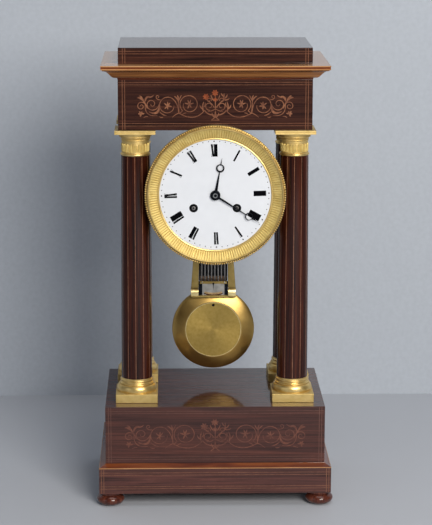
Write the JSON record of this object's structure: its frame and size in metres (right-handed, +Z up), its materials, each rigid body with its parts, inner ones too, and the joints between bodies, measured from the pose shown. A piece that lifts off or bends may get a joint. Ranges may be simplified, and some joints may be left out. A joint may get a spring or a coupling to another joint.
{
  "type": "portico mantel clock",
  "caption": "Portico mantel clock: a drum movement hung between columns under a moulded entablature, with dial, hands, bell and a swinging gridiron pendulum over a plinth on bun feet.",
  "frame": {"origin": "on the floor, under the middle of the case", "axes": "+Z up, -Y the front that the dial faces, +X to the viewer's right"},
  "size_m": [0.256, 0.175, 0.4918],
  "materials": {
    "rosewood": "french polished",
    "amber_wood": "french polished",
    "gilt_bronze": "gilt",
    "brass": "polished",
    "steel": "satin",
    "black_steel": "blued nearly black",
    "enamel": "glossy vitreous enamel on copper",
    "bell_metal": "polished",
    "silvered": "silvered"
  },
  "bodies": {
    "case": {"foot_front_left": "rosewood", "foot_front_right": "rosewood", "foot_rear_left": "rosewood", "foot_rear_right": "rosewood", "base_frame": "rosewood", "base_cap_board": "amber_wood", "plinth_case": "rosewood", "column_base_front_left": "gilt_bronze", "column_base_front_right": "gilt_bronze", "column_base_rear_left": "gilt_bronze", "column_base_rear_right": "gilt_bronze", "column_shaft_front_left": "rosewood", "column_shaft_front_right": "rosewood", "column_shaft_rear_left": "rosewood", "column_shaft_rear_right": "rosewood", "capital_front_left": "gilt_bronze", "capital_front_right": "gilt_bronze", "capital_rear_left": "gilt_bronze", "capital_rear_right": "gilt_bronze", "frieze_case": "rosewood", "cornice": "amber_wood", "attic": "rosewood", "movement_drum": "brass", "drum_saddle": "rosewood", "bezel": "gilt_bronze", "dial": "enamel", "front_plate": "brass", "back_plate": "brass", "bell": "bell_metal", "bell_stand": "steel", "suspension_cock": "brass", "suspension_spring": "steel"},
    "minute_hand_body": {"minute_hand": "black_steel", "cannon_pinion": "brass"},
    "minute_wheel_body": {"minute_wheel": "brass"},
    "hour_hand_body": {"hour_hand": "black_steel", "hour_wheel": "brass"},
    "escape_body": {"escape_wheel": "brass"},
    "third_body": {"third_wheel": "brass"},
    "centre_body": {"centre_wheel": "brass"},
    "intermediate_body": {"intermediate_wheel": "brass"},
    "going_barrel_body": {"going_barrel": "brass", "going_mainspring": "steel"},
    "going_winding_body": {"going_winding_arbor": "steel"},
    "fly_body": {"fly": "brass"},
    "pin_wheel_body": {"pin_wheel": "brass"},
    "second_wheel_body": {"strike_second_wheel": "brass", "count_wheel": "brass"},
    "strike_barrel_body": {"strike_barrel": "brass", "strike_mainspring": "steel"},
    "strike_winding_body": {"strike_winding_arbor": "steel"},
    "hammer_body": {"hammer": "steel"},
    "pendulum_body": {"gridiron": "steel", "stirrup": "gilt_bronze", "indicator_plate": "silvered", "bob": "brass"},
    "needle_body": {"indicator_needle": "black_steel"},
    "pallet_body": {"pallet_anchor": "steel", "crutch": "steel"}
  },
  "joints": [
    {"name": "minute_hand_turn", "type": "hinge", "parent": "case", "child": "minute_hand_body", "pos_m": [0, -0.0637, 0.3369], "axis": [0, 1, 0], "continuous": true},
    {"name": "minute_wheel_turn", "type": "hinge", "parent": "case", "child": "minute_wheel_body", "pos_m": [0, -0.05, 0.32475], "axis": [0, 1, 0], "continuous": true},
    {"name": "hour_hand_turn", "type": "hinge", "parent": "case", "child": "hour_hand_body", "pos_m": [0, -0.0619, 0.3369], "axis": [0, 1, 0], "continuous": true},
    {"name": "escape_wheel_turn", "type": "hinge", "parent": "case", "child": "escape_body", "pos_m": [0, -0.025, 0.36235], "axis": [0, 1, 0], "continuous": true},
    {"name": "third_wheel_turn", "type": "hinge", "parent": "case", "child": "third_body", "pos_m": [-0.00378, -0.025, 0.35101], "axis": [0, 1, 0], "continuous": true},
    {"name": "centre_wheel_turn", "type": "hinge", "parent": "case", "child": "centre_body", "pos_m": [0, -0.025, 0.3369], "axis": [0, 1, 0], "continuous": true},
    {"name": "intermediate_wheel_turn", "type": "hinge", "parent": "case", "child": "intermediate_body", "pos_m": [0.01401, -0.025, 0.34395], "axis": [0, 1, 0], "continuous": true},
    {"name": "going_barrel_turn", "type": "hinge", "parent": "case", "child": "going_barrel_body", "pos_m": [0.0229, -0.025, 0.3229], "axis": [0, 1, 0], "continuous": true},
    {"name": "going_winding_turn", "type": "hinge", "parent": "case", "child": "going_winding_body", "pos_m": [0.0229, -0.05, 0.3229], "axis": [0, 1, 0], "continuous": true},
    {"name": "fly_turn", "type": "hinge", "parent": "case", "child": "fly_body", "pos_m": [-0.01924, -0.025, 0.36891], "axis": [0, 1, 0], "continuous": true},
    {"name": "pin_wheel_turn", "type": "hinge", "parent": "case", "child": "pin_wheel_body", "pos_m": [-0.01728, -0.025, 0.35779], "axis": [0, 1, 0], "continuous": true},
    {"name": "second_wheel_turn", "type": "hinge", "parent": "case", "child": "second_wheel_body", "pos_m": [-0.0229, -0.025, 0.34575], "axis": [0, 1, 0], "continuous": true},
    {"name": "strike_barrel_turn", "type": "hinge", "parent": "case", "child": "strike_barrel_body", "pos_m": [-0.0229, -0.025, 0.3229], "axis": [0, 1, 0], "continuous": true},
    {"name": "strike_winding_turn", "type": "hinge", "parent": "case", "child": "strike_winding_body", "pos_m": [-0.0229, -0.05, 0.3229], "axis": [0, 1, 0], "continuous": true},
    {"name": "hammer_lift", "type": "hinge", "parent": "case", "child": "hammer_body", "pos_m": [-0.037, -0.025, 0.35088], "axis": [0, 1, 0], "range_deg": [0, 12], "stiffness_Nm_per_rad": 0.02, "springref_deg": -5.73},
    {"name": "pendulum_swing", "type": "hinge", "parent": "case", "child": "pendulum_body", "pos_m": [0, 0.0285, 0.3712], "axis": [0, 1, 0], "range_deg": [-4, 4]},
    {"name": "needle_swing", "type": "hinge", "parent": "pendulum_body", "child": "needle_body", "pos_m": [0, 0.0196, 0.2226], "axis": [0, 1, 0], "range_deg": [-12, 12]},
    {"name": "pallet_rock", "type": "hinge", "parent": "case", "child": "pallet_body", "pos_m": [0, -0.025, 0.3712], "axis": [0, 1, 0], "range_deg": [-4, 4]}
  ],
  "couplings": [
    {"joint": "minute_wheel_turn", "follows": "minute_hand_turn", "ratio": -0.33333},
    {"joint": "hour_hand_turn", "follows": "minute_hand_turn", "ratio": 0.083333},
    {"joint": "third_wheel_turn", "follows": "escape_wheel_turn", "ratio": -0.1},
    {"joint": "centre_wheel_turn", "follows": "escape_wheel_turn", "ratio": 0.01},
    {"joint": "intermediate_wheel_turn", "follows": "escape_wheel_turn", "ratio": -0.0016667},
    {"joint": "going_barrel_turn", "follows": "escape_wheel_turn", "ratio": 0.00020833},
    {"joint": "pin_wheel_turn", "follows": "fly_turn", "ratio": -0.1},
    {"joint": "second_wheel_turn", "follows": "fly_turn", "ratio": 0.011111},
    {"joint": "strike_barrel_turn", "follows": "fly_turn", "ratio": -0.0013889},
    {"joint": "pallet_rock", "follows": "pendulum_swing", "ratio": 1}
  ]
}
